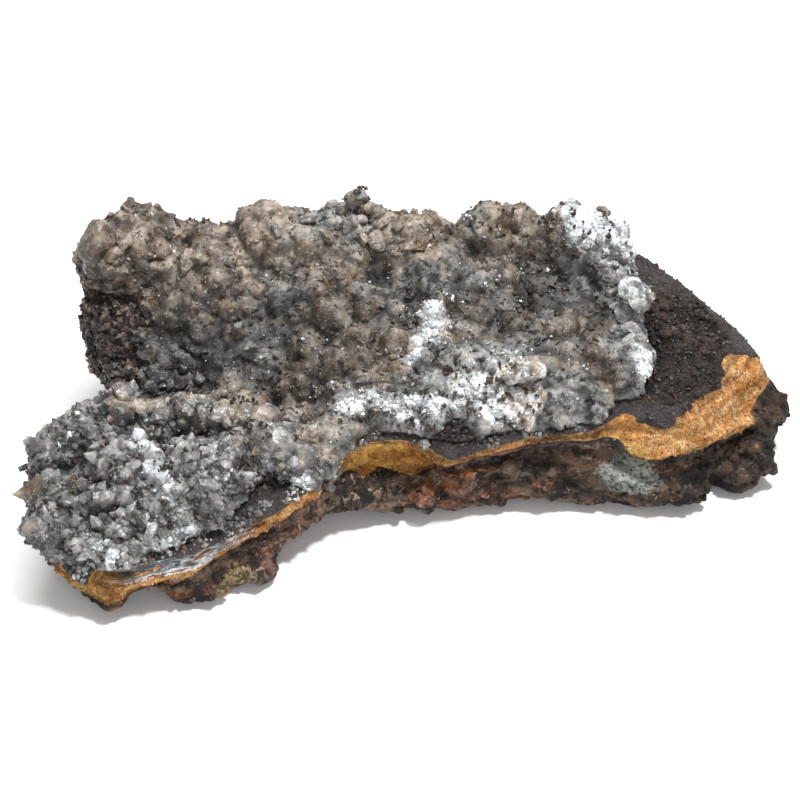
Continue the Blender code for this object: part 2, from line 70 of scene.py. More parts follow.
# How thick the skin is on the front edge, along x, and how deep below its face the ochre ends.
SKIN_DEPTHS = (
    (-80, 1), (-74, 4.6), (-65, 4.4), (-62, 0.5), (-40, 0.5), (-28, 0.8), (-20, 1.3), (-14, 1.5), (-2, 0.7),
    (6, 0.8), (11, 1.3), (16, 0.6), (40, 0.5), (46, 1.2), (60, 1.6), (88, 1.6),
)
OCHRE_FLOORS = (
    (-80, 5), (-70, 8), (-56, 6.5), (-50, 6.5), (-47, 7.5), (-42, 4.5), (-38, 2.4), (-33, 3.6), (-30, 5),
    (-27, 2.7), (-21, 3), (-15, 4.5), (-12, 7), (-8, 9.8), (3, 11), (7, 9.5), (9.5, 3.2), (12, 2.4), (18, 2),
    (26, 1.7), (34, 1.9), (44, 2.4), (50, 3.2), (58, 4.3), (66, 4.7), (77, 4.6), (79, 3.8), (80.5, 2.2),
    (84.5, 0.6), (88, 0.4),
)
BACK_SKIN = 1.5
BACK_FLOOR = 4.5

# Where the skin is broken off the dome's front and leaves bare ochre, on the plan.
SKIN_EDGE = (
    (-20, -40), (8, -24), (14, -20.8), (20, -18), (27, -15.8), (35, -15.2), (43.8, -13.4), (48.5, -10.4),
    (53, -12), (56, -13.2), (58.6, -14.6), (60.2, -9.6), (63.7, -5.7), (67.7, -1.7), (71.4, 1.8), (72.9, 5),
    (72.6, 8.3), (74.4, 10.8), (78.5, 12.6), (83, 14), (92, 16),
)

# The hollow under the skin's arch: middle in x and z, half width, half height, depth.
ARCH = (-2.5, 13.0, 9.5, 5.0, 2.8)

# Dark recesses under the ledges: their ends in x, depth below the skin, half height, how far they go in.
RECESSES = ((8.0, 62.0, 5.4, 2.6, 2.4), (-41.0, -26.0, 4.6, 1.5, 2.2))

# The pit in the dome beside the crust: x, y, radius, depth.
PIT = (56.0, 8.0, 3.5, 3.4)

# How far left the crust reaches along y, and by what share the rest beyond is drawn in.
LEFT_REACH = (
    (-50, -70), (-45, -74), (-41, -76), (-34, -76.5), (-20, -74), (8, -74), (14, -72.5), (40, -72.5),
)
DRAWN_IN = 0.7

# Soft patches on the plan. Each row: x, y, half length, half width, strength, and any turn in degrees.
FROST = (
    (7, 4.5, 4.8, 5.5, 1, 20), (3, -2, 3, 1.8, 0.9), (13, 9, 4, 2, 0.5), (-9, -10.5, 6, 3.5, 0.7),
    (4, -12, 8, 3, 0.9), (19, -11, 9, 3.5, 0.7), (33, -11, 9, 2.8, 0.3), (22, 0, 7, 4.5, 0.45),
    (15, -6, 4, 3, 0.5), (43, 33, 8, 5, 0.75, -30), (49, 27, 6, 3.5, 0.6, -50), (52, 1, 3.5, 3.5, 0.95),
    (50, 14, 4, 4, 0.5), (-53, -26.5, 4, 3, 1), (-49, -34, 5.5, 3.5, 0.85, -40), (-46, -16, 9, 2.5, 0.3),
    (-34, -17, 7, 3, 0.25), (-60, -46, 8, 3, 0.5, 15), (-45, -42, 9, 3, 0.5, 25), (-22, -29, 5, 2.5, 1, 30),
    (-29, -24, 4, 3, 0.4), (-66, -36, 6, 5, 0.25), (-38, -30, 6, 5, 0.4, 20),
)
SMOKE = (
    (-62, 30, 14, 11, 1), (-44, 25, 14, 12, 0.75), (-28, 31, 9, 7, 0.6), (-13, 4, 15, 8, 1, 10),
    (-4, -3, 8, 5, 0.9), (17, 10, 11, 6, 1), (28, 36, 7, 6, 1), (5, 30, 9, 8, 0.6), (43, -4, 8, 5, 0.7),
    (-23, -22, 8, 5, 0.65), (-77, -33, 6, 5, 0.8), (-14, 22, 9, 8, 0.45), (-36, -2, 10, 6, 0.6),
    (38, 10, 9, 6, 0.5), (30, 26, 9, 9, 0.5),
)
# Painted shade: patches darkened in the crystals' colour for valleys, cavities and gaps, and sunk a little; a
# few weak rows only darken the tone.
PAINTED_SHADE_AND_TONE = (
    (-50, 6, 12, 10, 1), (33, 24, 6, 11, 0.9, 10), (17, 29, 9, 5, 0.5), (3, 17.5, 2.6, 5, 1, -20),
    (-43, -22, 6, 2.5, 0.9), (-64, -29, 6, 3, 0.75, 20), (-30, 11, 8, 4, 0.6), (40, 20, 8, 4, 0.7),
    (-55, -37, 10, 4, 0.55, 20), (-14, 8, 20, 9, 0.55), (12, 14, 14, 9, 0.6), (-34, 0, 14, 7, 0.45),
    (32, 8, 14, 9, 0.55), (-22, -7, 12, 5, 0.35), (44, -3, 8, 5, 0.5), (-62, -38, 14, 8, 0.45),
    (-14, -1, 14, 5, 0.45), (-43, -37, 4, 3, 0.7, 20), (-70, -26, 4, 2.5, 0.8, 30),
    (-49, -29.5, 2.5, 2, 0.7), (11, -4, 5, 3, 0.5), (-57, -4, 6, 5, 0.8), (45, 11, 8, 6, 0.65),
    (-50, -1, 9, 5, 0.8), (-31, 22, 5, 3, 0.4), (-4, 22, 3, 4, 0.7), (30, 18, 5, 9, 0.7),
    (22, 14, 10, 7, 0.5), (-60, 29, 14, 9, 0.15),
)
CLEAR = (
    (45, 27, 11, 9, 0.9), (51, 8, 5, 14, 0.9), (20, -10, 28, 6, 0.8), (22, 0, 8, 5, 0.6),
    (-20, 34, 8, 5, 0.4), (-30, 5, 7, 6, 0.5),
)
SPECKLED = (
    (0, -13, 16, 3.5, 1), (12, -15, 8, 3, 1), (24, -11, 12, 6, 0.8), (44, 29, 10, 8, 0.7), (-9, 39, 4, 3, 1),
    (-55, -33, 20, 12, 0.6), (-44, -21, 10, 3, 1), (12, -4, 9, 5, 0.7), (21, 36, 8, 5, 0.7),
    (-27, -22, 8, 5, 0.5), (-46, -35, 4, 2, 1), (36, -11, 10, 3, 0.9), (-40, -10, 14, 4, 0.7),
    (5, -1, 5, 2, 0.8),
)
BARE = (
    (11, -17.5, 5.5, 3.2, 1), (0, -17, 7, 1.3, 1), (20, -18, 7, 1.2, 1), (34, -15, 9, 1, 1),
    (-29.5, -28.5, 5, 1.8, 1, 30), (46, -11, 4, 1.4, 0.8, 30),
)

# The height that nothing passes, and the grid that each solid is rebuilt on.
HIGHEST = 49.4
VOXELS = {"ironstone_matrix": 0.7, "chalcedony_crust": 0.62}

# The pale flat plate in the crust: x, y, half spreads and how far it stands up.
PLATE = (26.0, -8.0, 6.0, 6.0, 1.2)

# The notch under the lobe, left of its foot: x, half width, height.
NOTCH = (-52.5, 5.5, 7.0)

# Where small crystals grow on the rock itself, past the crust's edge.
FRINGE = (
    (-47, -43, 11, 3.2, 1, 24), (-36, -37, 6, 3.4, 1, 42), (-22, -29.5, 5, 2, 1, 35),
    (-60, -48, 6, 2, 0.9, 5), (-30, -33.5, 3.5, 1.5, 0.7, 40), (-66, -46, 4, 3, 0.9, -40),
    (-9, -15.5, 5, 1.8, 1), (21, -16.5, 3, 1.8, 1), (29, -14.8, 4, 1.6, 1), (38, -13, 3.5, 1.6, 1),
    (3, -17, 2, 1.2, 0.9),
)

# How far the plan of the mounds leans with height, so that steep sides have mounds too.
LEANT = (0.5, 0.8, 0.0)

# Round swellings of the crust: x, y, half spread in x and y, number, radius.
MOUNDS = (
    (-24, -22, 6, 4.5, 14, 2.9), (-24, 31, 11, 5, 22, 3.1), (6, 27, 10, 6, 22, 2.9),
    (26, 35, 8, 3.5, 12, 2.8), (-58, -1, 3, 3, 5, 2.6), (-60, 29, 9, 5, 10, 3.4), (-14, 12, 16, 6, 16, 2.8),
    (-10, 0, 12, 4, 10, 3.2), (14, 12, 10, 5, 12, 2.7), (38, 6, 8, 8, 12, 2.7), (45, 28, 7, 5, 12, 2.2),
    (-44, -16, 15, 3, 18, 2.3), (-55, -32, 18, 9, 34, 2.9), (-36, -8, 9, 5, 12, 2.4),
)

# Groups of larger crystals: kind, x, y, half spread in x and y, number, size, and smoke, frost and shade.
GROUPS = (
    ("block", -66.5, 24.5, 4.5, 2.2, 10, 5.6, 1, 0, 0.92), ("block", -45, 22, 4, 2.5, 5, 3.4, 0.7, 0, 0.85),
    ("block", -44, -16, 15, 2.5, 30, 3.6, 0.55, 0.25, 1.05), ("block", -24, -22, 5, 3.5, 9, 6, 0.45, 0.1, 1),
    ("tall", -36, 9.3, 0.3, 0.3, 1, 4.6, 0.6, 0.2, 0.85), ("block", -14, 31, 12, 4, 14, 3.4, 0.5, 0, 0.95),
    ("petal", 51, 11, 1.6, 6, 46, 2.9, 0.1, 0.2, 0.95), ("block", -52, 5, 9, 6, 34, 3, 0.2, 0, 0.28),
    ("block", -60, -34, 14, 9, 24, 3.6, 0.15, 0.1, 0.95),
    ("block", -9.2, 38, 0.1, 0.1, 1, 3.6, 0.1, 0.3, 0.95),
    ("block", -7.3, 36, 0.8, 0.4, 4, 3, 0.8, 0.1, 0.8), ("block", -76, -42, 3, 4, 6, 3.4, 0.4, 0.1, 0.85),
    ("point", -56, -33, 17, 9, 150, 2.8, 0.15, 0.15, 1), ("point", -44, -17, 15, 3, 60, 2.4, 0.5, 0.3, 1.05),
    ("point", -26, -23, 7, 5, 40, 2.4, 0.5, 0.1, 1.05), ("point", 48, 25, 5, 5, 40, 1.8, 0.1, 0.4, 1),
)

# Each kind's pairs of planes (none for a six-sided point), its shape, its lean and how far it stands out.
KINDS = {
    "block": (4, (1, 0.9, 0.8), (0, 0, 0.6), 0), "point": (0, (1, 0.9, 1.5), (0, 0, 0.2), 0.15),
    "tall": (6, (0.7, 0.7, 1.4), (0, 0, 4), 0.2), "petal": (5, (0.9, 1, 0.16), (0.5, -1.6, 1.4), 0.05),
}

# The long blades at the lobe's left end: x, y, z, length, width, thickness, turn and rise in degrees.
BLADES = (
    (-73.6, -34, 20.6, 14, 7.4, 3, 184, -6), (-73, -25.5, 23, 6.5, 4.4, 1.7, 160, 40),
    (-75.4, -30, 21.5, 6, 4, 1.6, 172, 15), (-69, -20, 25, 5.5, 4, 1.8, 150, 60),
)

# The way that the long blades' flat sides face.
BLADE_SIDE = (0.1, -0.8, 0.55)

# Stained patches of the brown mass: x, z, half width, half height, and how far forward they start.
STAINS = ((50, 9.5, 8, 4.5, 8), (-34, 4, 5, 2.5, 35))

# The studio, in metres and watts: the floor's half side, and each light's name, place, size and power.
FLOOR_SIDE = 3.0
LIGHTS = (
    ("overhead", (-0.1, 0.3, 0.85), 0.6, 7.0), ("key", (0.2, 0.0, 0.75), 0.13, 6.5),
    ("front_fill", (0.15, -0.75, 0.4), 0.6, 2.0),
)
LIGHTS_AIM = Vector((0.0, 0.0, 0.015))
ALL_ROUND_LIGHT = 0.42

# How rough every noise of the looks is.
NOISE_ROUGHNESS = 0.64


def even_random(cells, seed):
    """Even random numbers from 0 to 1 for whole-number cells: products by primes, folded with shifts."""
    x, y, z = np.moveaxis(cells.astype(np.int64), -1, 0)
    mixed = (x * 73856093) ^ (y * 19349663) ^ (z * 83492791) ^ (seed * 26544357)
    mixed = ((mixed ^ (mixed >> 13)) * 1274126177) & 0xFFFFFFFF
    mixed = ((mixed ^ (mixed >> 15)) * 2246822519) & 0xFFFFFFFF
    return (mixed & 0xFFFFFF) / 0xFFFFFF


def waves(points, size, seed, octaves=2):
    """Smooth noise from about -1 to 1: random values at cube corners, blended by smoothsteps, in octaves."""
    total, weight = np.zeros(len(points)), 0.0
    for octave in range(octaves):
        scaled = points / (size * 0.5**octave)
        cell = np.floor(scaled)
        part = scaled - cell
        part = part * part * (3 - 2 * part)
        value = np.zeros(len(points))
        for corner in np.ndindex(2, 2, 2):
            share = np.prod(np.where(corner, part, 1 - part), axis=1)
            value += share * even_random(cell + corner, seed + octave)
        total += (2 * value - 1) * 0.5**octave
        weight += 0.5**octave
    return total / weight * 1.4


def cells(points, size, seed, flat=False):
    """Distances, in cells, to the nearest and the second nearest of points jittered one in each cube.

    Also the step from the nearest one, in millimetres, and its own random number. Flat cells are squares in
    plan."""
    reach = np.array((1.0, 1.0, 0.0 if flat else 1.0))
    scaled = points / size * reach
    home = np.floor(scaled)
    nearest, second = np.full(len(points), 9.0), np.full(len(points), 9.0)
    step, tag = np.zeros((len(points), 3)), np.zeros(len(points))
    for shift in np.ndindex(3, 3, 1 if flat else 3):
        cube = home + (np.array(shift) - 1) * reach
        jitter = np.stack([even_random(cube, seed + k) for k in range(3)], axis=1) * reach
        away = scaled - cube - jitter
        weight = even_random(cube, seed + 3)
        apart = np.linalg.norm(away, axis=1) * (0.8 + 0.5 * weight)
        closer = apart < nearest
        second = np.minimum(second, np.maximum(nearest, apart))
        nearest = np.where(closer, apart, nearest)
        step = np.where(closer[:, None], away * size, step)
        tag = np.where(closer, weight, tag)
    return nearest, second, step, tag


def smooth(value, low, high):
    """0 below low and 1 above high, by a smoothstep between them."""
    share = np.clip((value - low) / (high - low), 0.0, 1.0)
    return share * share * (3 - 2 * share)


def unit(vectors):
    """Vectors of length 1."""
    return vectors / np.maximum(np.linalg.norm(vectors, axis=1, keepdims=True), 1e-9)


def plan_of(points):
    """The plan under points in millimetres."""
    return points[:, :2] - PLAN_ZERO


def skin_height(plan):
    """Height of the skin's upper face: a slope steeper at the back, with a trough at the left and a dome."""
    x, y = plan.T
    back = y - FRONT_RIM_Y
    (ax, ay), (bx, by) = TROUGH_ENDS
    share = np.clip(((x - ax) * (bx - ax) + (y - ay) * (by - ay)) / ((bx - ax) ** 2 + (by - ay) ** 2), 0, 1)
    aside = np.hypot(x - ax - share * (bx - ax), y - ay - share * (by - ay))
    height = RIM_HEIGHT + SLOPE * back + SLOPE_GAIN * back**2
    height = height - DOME_DROP * (np.clip(x - DOME_START_X, 0.0, None) / DOME_LENGTH) ** 1.6
    height = height - BACK_ROUND * np.clip(y - BACK_ROUND_Y, 0.0, None) ** 1.5
    return height - TROUGH_DEPTH * np.exp(-0.5 * (aside / TROUGH_WIDTH) ** 2)


def beyond(plan, line):
    """How far plan points lie to the right of a line drawn through points, and negative to its left."""
    line = np.array(line)
    start, run = line[:-1], np.diff(line, axis=0)
    share = np.clip(((plan[:, None] - start) * run).sum(2) / (run**2).sum(1), 0, 1)
    apart = plan[:, None] - start - share[..., None] * run
    nearest = np.argmin((apart**2).sum(2), axis=1)
    step, run = apart[np.arange(len(plan)), nearest], run[nearest]
    return np.sign(step[:, 0] * run[:, 1] - step[:, 1] * run[:, 0]) * np.linalg.norm(step, axis=1)


def bell(across, along=0.0, power=3):
    """A bell curve: 1 in the middle of an ellipse, from distances in half widths across it and along it."""
    return np.exp(-((across**2 + along**2) ** (power / 2)))


def patches(points, rows, seed, ragged=2.2):
    """How far points lie in soft patches, 0 to 1: bell curves on turned ellipses, their edges ragged."""
    plan = plan_of(points) + ragged * np.stack([waves(points, 5.0, seed + k, 3) for k in (0, 9)], axis=1)
    left = np.ones(len(points))
    for x, y, long, wide, strength, *turn in rows:
        turn = math.radians(turn[0] if turn else 0)
        along = (plan - (x, y)) @ (math.cos(turn), math.sin(turn)) / long
        across = (plan - (x, y)) @ (-math.sin(turn), math.cos(turn)) / wide
        left *= 1 - strength * bell(along, across)
    return 1 - left


class Socket:
    """A socket of a look's nodes. An expression on sockets and numbers adds its Math nodes."""

    def __init__(self, look, link):
        self.look = look
        self.link = link

    def __add__(self, other):
        return self.look.maths("ADD", self, other)

    def __sub__(self, other):
        return self.look.maths("SUBTRACT", self, other)

    def __rsub__(self, other):
        return self.look.maths("SUBTRACT", other, self)

    def __mul__(self, other):
        return self.look.maths("MULTIPLY", self, other)

    __radd__ = __add__
    __rmul__ = __mul__


class Look:
    """A finish being made: a Principled shader, its constants, and the nodes that feed it."""

    def __init__(self, name, **constants):
        self.material = bpy.data.materials.new(name)
        self.material.use_nodes = True
        self.tree = self.material.node_tree
        self.shader = self.tree.nodes["Principled BSDF"]
        for key, value in constants.items():
            self.shader.inputs[key.replace("_", " ").title().replace("Ior", "IOR")].default_value = value
        self.place = self.node("ShaderNodeTexCoord", output="Object")

    def node(self, kind, settings=None, values=None, output=0):
        """A node of this kind, with its settings made first and then its sockets given values or links."""
        made = self.tree.nodes.new(kind)
        for key, value in (settings or {}).items():
            setattr(made, key, value)
        for key, value in (values or {}).items():
            self.feed(made.inputs[key], value)
        return Socket(self, made.outputs[output])

    def feed(self, socket, value):
        """A link from a Socket, a colour, or a plain value."""
        if isinstance(value, Socket):
            self.tree.links.new(value.link, socket)
        elif isinstance(value, tuple):
            socket.default_value = paint(*value)
        else:
            socket.default_value = value

    def maths(self, operation, first, second):
        return self.node("ShaderNodeMath", {"operation": operation}, {0: first, 1: second})

    def attribute(self, name, output="Fac"):
        return self.node("ShaderNodeAttribute", {"attribute_name": name}, output=output)

    def noise(self, size, detail=5.0, distortion=0.0, place=None):
        """Noise from 0 to 1 with features about as large as size, in millimetres."""
        values = {"Vector": place or self.place, "Scale": 1 / (size * MM), "Detail": detail}
        values.update(Distortion=distortion, Roughness=NOISE_ROUGHNESS)
        return self.node("ShaderNodeTexNoise", values=values, output="Fac")

    def grains(self, size):
        """Distance to the nearest of points scattered about as far apart as size, in millimetres."""
        values = {"Vector": self.place, "Scale": 1 / (size * MM)}
        return self.node("ShaderNodeTexVoronoi", values=values, output="Distance")

    def between(self, value, low, high):
        """0 below low and 1 above high."""
        settings = {"interpolation_type": "SMOOTHSTEP"}
        return self.node("ShaderNodeMapRange", settings, {"Value": value, "From Min": low, "From Max": high})

    def mix(self, share, first, second, blend="MIX"):
        """A colour between two, or blended from them."""
        settings = {"data_type": "RGBA", "blend_type": blend}
        return self.node("ShaderNodeMix", settings, {0: share, 6: first, 7: second}, output=2)

    def coats(self, colour, *coats):
        """A colour under coats. Each has a value, its low and high, a colour, and a share if not full."""
        for value, low, high, tint, *share in coats:
            covered = self.between(value, low, high)
            colour = self.mix(covered * share[0] if share else covered, colour, tint)
        return colour

    def shaded(self, colour, shade):
        """A colour multiplied by a number."""
        grey = self.node("ShaderNodeCombineColor", values={0: shade, 1: shade, 2: shade})
        return self.mix(1.0, colour, grey, "MULTIPLY")

    def finish(self, colour, roughness, relief=None, depth=0.0):
        """Feeds the shader: its colour, its roughness, and relief as a bump of this depth in millimetres."""
        self.feed(self.shader.inputs["Base Color"], colour)
        self.feed(self.shader.inputs["Roughness"], roughness)
        if relief:
            bump = self.node("ShaderNodeBump", values={"Height": relief, "Distance": depth * MM})
            self.feed(self.shader.inputs["Normal"], bump)
        return self.material


def paint(*values):
    """A colour for a socket from its 0 to 255 values, all of them over 10."""
    return (*(((v / 255 + 0.055) / 1.055) ** 2.4 for v in values), 1.0)


def ironstone_look():
    """Dark skin, sandy ochre and rusty brown mass. The "bed" attribute is 0, 1 and 2 in them."""
    look = Look("ironstone", specular_ior_level=0.35)
    fine, small, broad = look.noise(0.45, 4), look.noise(1.7, 5), look.noise(7.0, 4)
    strata = look.attribute("strata", "Vector")
    sheets, streaks = look.noise(1.6, 5, 0.4, strata), look.noise(2.6, 5, 0.3, strata)
    bed = look.attribute("bed") + (small - 0.5) * 0.7 + (fine - 0.5) * 0.5 + (sheets - 0.5) * 0.5
    hollow, rust = look.attribute("hollow"), look.attribute("rust")

    skin = look.coats(
        (40, 38, 41), (broad, 0.35, 0.65, (62, 57, 56)), (small, 0.45, 0.6, (38, 31, 28), 0.7),
        (fine, 0.5, 0.64, (104, 96, 90), 0.6),
    )
    dark = look.coats((27, 21, 19), (small, 0.35, 0.7, (68, 53, 46)))
    skin = look.mix(look.attribute("granular"), skin, dark)

    sand = look.coats((184, 138, 86), (broad, 0.4, 0.62, (170, 110, 50)))
    sand = look.coats(sand, (small, 0.48, 0.66, (208, 172, 124)))
    pepper = (1 - look.between(look.grains(0.75), 0.12, 0.3)) * look.between(look.noise(3.0, 2), 0.3, 0.5)
    sand = look.mix(pepper, sand, (58, 38, 26))
    sand = look.coats(sand, (fine, 0.5, 0.62, (108, 72, 42), 0.75), (sheets, 0.6, 0.66, (96, 56, 30), 0.5))
    golden = look.coats(
        (255, 212, 120), (streaks, 0.36, 0.6, (204, 144, 74)), (fine, 0.5, 0.62, (132, 88, 48), 0.6),
        (small, 0.56, 0.64, (92, 60, 34), 0.7),
    )
    ochre = look.coats(sand, (hollow + (small - 0.5) * 0.6, 0.3, 0.6, golden))
    rusted = look.between(hollow + (broad - 0.5) * 0.8, 0.25, 0.45)
    rusted = rusted * look.between(look.noise(2.6, 6, 0.5), 0.48, 0.58)
    ochre = look.mix(rusted * 0.4, ochre, (130, 70, 34))
    sheet = look.coats(
        (72, 50, 42), (sheets, 0.4, 0.46, (112, 115, 121)), (sheets, 0.5, 0.54, (196, 198, 200)),
        (sheets, 0.57, 0.6, (120, 76, 44)), (sheets, 0.63, 0.67, (160, 164, 172)),
    )
    lenses = look.attribute("fleck") + (sheets - 0.5) * 3.0 + (small - 0.5) * 1.2
    ochre = look.coats(ochre, (lenses, 0.45, 0.6, sheet))

    brown = look.coats(
        (30, 24, 22), (look.noise(2.2, 5, 0.6, strata), 0.42, 0.6, (108, 88, 74)),
        (fine, 0.45, 0.6, (112, 92, 78), 0.35),
    )
    rusty = look.coats((96, 50, 30), (small, 0.45, 0.62, (166, 96, 52)))
    mass = look.mix(look.between(streaks, 0.48, 0.62) * rust, brown, rusty)
    # Painted shade: near-black pockets scattered over the mass, standing in for shaded recesses.
    mass = look.coats(mass, (look.noise(3.4, 6, 0.5), 0.5, 0.58, (20, 16, 15), 0.85))
    stained = look.coats((158, 162, 154), (small, 0.45, 0.62, (82, 82, 74)))
    olive = look.coats((140, 122, 88), (small, 0.45, 0.62, (66, 54, 38)))
    stained = look.coats(stained, (rust, 0.35, 0.6, olive))
    mass = look.coats(
        mass, (look.attribute("patch") + (small - 0.5) * 1.6, 0.48, 0.66, stained),
        (look.noise(2.0, 6, 0.8), 0.6, 0.64, (168, 150, 132), 0.6),
    )

    colour = look.coats(skin, (bed, 0.42, 0.58, ochre), (bed, 1.42, 1.58, mass))
    # The shade attribute brings painted shade in the relief's hollows and at the mass's right end, painted
    # light on rises, and darker tones.
    colour = look.shaded(colour, look.attribute("shade"))
    roughness = look.between(bed, 0.3, 0.7) * 0.3 + 0.5
    relief = fine * 0.8 + small * 0.9 + sheets * 0.4
    return look.finish(colour, roughness, relief, 1.0)


def crystal_look(name, **constants):
    """Crystals tinted by attributes: "smoke" browns them, "frost" whitens, "shade" lightens or darkens them,
    with painted shade in gaps and hollows, painted light on crests and tips, and their own random tone.

    "fan" turns round with the way out from the middle of a mound, so its noise makes rays. "glint" polishes
    them."""
    look = Look(name, ior=1.54, **constants)
    veil, cloud, fog = look.noise(0.6, 4, 0.6), look.noise(3.5, 2), look.noise(2.0, 6, 0.5)
    rays = look.noise(0.38, 4, place=look.attribute("fan", "Vector"))
    smoke = look.between(look.attribute("smoke") + (cloud - 0.5) * 1.1, 0.2, 0.8)
    frost = look.between(look.attribute("frost") + (veil - 0.5) * 0.8 + (fog - 0.5) * 1.2, 0.32, 0.66)
    grey = look.coats((108, 107, 105), (cloud, 0.4, 0.6, (175, 174, 171)))
    brown = look.coats((102, 88, 75), (cloud, 0.36, 0.62, (172, 157, 140)))
    brown = look.coats(brown, (look.noise(5.0, 3), 0.5, 0.62, (112, 86, 62), 0.8))
    body = look.mix(smoke, grey, brown)
    body = look.mix(look.between(rays, 0.42, 0.58) * 0.6, look.shaded(body, 0.72), look.shaded(body, 1.3))
    white = look.coats((212, 215, 217), (look.noise(1.1), 0.4, 0.6, (238, 241, 243)))
    body = look.mix(frost, body, white)
    body = look.coats(body, (veil, 0.6, 0.64, (228, 227, 224), 0.5))
    body = look.mix(look.attribute("bare"), body, (50, 42, 39))
    colour = look.shaded(body, look.attribute("shade"))
    roughness = 0.44 - look.attribute("glint") * 0.36 - look.between(veil, 0.5, 0.65) * 0.1
    return look.finish(colour, roughness, veil + rays * 0.8, 0.22)


def goethite_look():
    """Nearly black grains with a dull gleam."""
    look = Look("goethite_grains", specular_ior_level=0.45)
    fine = look.noise(0.8, 3)
    colour = look.coats((27, 22, 20), (fine, 0.35, 0.65, (80, 69, 62)))
    # Their shade attribute carries painted light and shade by height, and random tone.
    return look.finish(look.shaded(colour, look.attribute("shade")), fine * 0.3 + 0.4, fine, 0.05)


def placed(name, data):
    """A new object in the scene."""
    made = bpy.data.objects.new(name, data)
    bpy.context.scene.collection.objects.link(made)
    return made


def mesh_of(name, points, triangles, attributes, material, flat):
    """An object from points in millimetres, triangles and named numbers for each point."""
    points[:, 2] = np.minimum(points[:, 2], HIGHEST)
    mesh = bpy.data.meshes.new(name)
    mesh.vertices.add(len(points))
    mesh.vertices.foreach_set("co", (points * MM).astype(np.float32).ravel())
    mesh.loops.add(triangles.size)
    mesh.loops.foreach_set("vertex_index", triangles.astype(np.int32).ravel())
    mesh.polygons.add(len(triangles))
    mesh.polygons.foreach_set("loop_start", np.arange(len(triangles), dtype=np.int32) * 3)
    mesh.polygons.foreach_set("use_smooth", np.full(len(triangles), not flat))
    mesh.update(calc_edges=True)
    for key, values in attributes.items():
        kind, field = ("FLOAT", "value") if values.ndim == 1 else ("FLOAT_VECTOR", "vector")
        mesh.attributes.new(key, kind, "POINT").data.foreach_set(field, values.astype(np.float32).ravel())
    mesh.materials.append(material)
    return placed(name, mesh)


def read(rows, field, kind=float):
    """A field of three numbers in each of a mesh's rows, as an array."""
    values = np.zeros(len(rows) * 3, dtype=kind)
    rows.foreach_get(field, values)
    return values.reshape(-1, 3)


def normals_of(piece):
    return read(piece.data.vertex_normals, "vector")


def dense_copy(node):
    """Points, normals and triangles of a CAD node, rebuilt on a fine even grid and smoothed a little."""
    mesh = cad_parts[node].data.copy()
    work = bmesh.new()
    work.from_mesh(mesh)
    bmesh.ops.remove_doubles(work, verts=work.verts, dist=0.002 * MM)
    work.to_mesh(mesh)
    work.free()
    helper = placed("dense_copy", mesh)
    remesh = helper.modifiers.new("even", "REMESH")
    remesh.mode = "VOXEL"
    remesh.voxel_size = VOXELS[node] * MM
    helper.modifiers.new("round", "SMOOTH").iterations = 2
    made = helper.evaluated_get(bpy.context.evaluated_depsgraph_get()).to_mesh()
    made.calc_loop_triangles()
    points, normals = read(made.vertices, "co") / MM, read(made.vertex_normals, "vector")
    triangles = read(made.loop_triangles, "vertices", int)
    bpy.data.objects.remove(helper)
    return points, normals, triangles


def beds(points):
    """What the rock is like at points: its bed, and how granular, hollow, flecked, stained and rusty."""
    plan = plan_of(points)
    x, y, z = plan[:, 0], plan[:, 1], points[:, 2]
    depth = skin_height(plan) - z
    back = smooth(y, 8, 16) * (1 - smooth(x, 62, 72))
    skin = np.interp(x, *np.array(SKIN_DEPTHS).T) * (1 - back) + BACK_SKIN * back
    floor = np.interp(x, *np.array(OCHRE_FLOORS).T) * (1 - back) + BACK_FLOOR * back
    broken = beyond(plan, SKIN_EDGE) + 0.5 * waves(points, 2.5, 81)
    edge = np.maximum(smooth(depth, skin - 0.4, skin + 0.4), smooth(broken, -0.35, 0.35) * smooth(x, 10, 16))
    bed = edge + smooth(depth, floor - 0.5, floor + 0.5)

    stray = 3.0 * waves(points, 7.0, 85, 3)
    wall = smooth(stray - x, 52.4, 53.4) * smooth(y, -7.5, -6.5) * (1 - smooth(y + stray, 30, 31))
    bed = bed * (1 - wall)
    inner = np.hypot((x - 60) / 17, (y - 9) / 18) + 0.12 * waves(points, 5.0, 83)
    granular = np.maximum((1 - smooth(inner, 0.8, 1.0)) * smooth(x, 40, 50), wall)
    granular = granular * (1 - smooth(bed, 0.2, 0.6))

    at_x, at_z, wide, high, _ = ARCH
    hollow = bell((x - at_x) / wide, (z - at_z) / high, 4)
    gilt = np.maximum(smooth(-x, 56, 61), smooth(x, 40, 44) * smooth(-x, -58, -52) * smooth(-y, 6, 9))
    hollow = np.maximum(hollow * smooth(-y, 10.0, 14.0), 0.45 * gilt)
    fleck = 0.75 * smooth(-y, 5, 15) * smooth(x, -62, -56) * smooth(-x, 18, 48)
    fleck = fleck * smooth(depth, -0.6, 0.1) * (1 - smooth(depth, 2.2, 3.6))
    patch = np.zeros(len(points))
    for at_x, at_z, wide, high, front in STAINS:
        stain = bell((x - at_x) / wide, (z - at_z) / high)
        patch = np.maximum(patch, stain * smooth(-y, front, front + 4))
    rust = 0.25 + 0.75 * bell((x - 17) / 15) + 0.4 * smooth(-x, 24, 34)
    # Painted shade darkens the right end of the brown mass; the ochre at the left front is darker
    # orange-brown in its own tone.
    shade = 1 - 0.6 * smooth(x, 55, 64) * smooth(bed, 1.3, 1.7)
    shade = shade - 0.3 * smooth(-x, 54, 60) * smooth(-y, 20, 30)
    strata = np.column_stack([0.16 * x, 0.16 * y, depth]) * MM
    return dict(bed=bed, granular=granular, hollow=hollow, fleck=fleck, patch=patch, rust=rust,
                strata=strata, shade=shade)


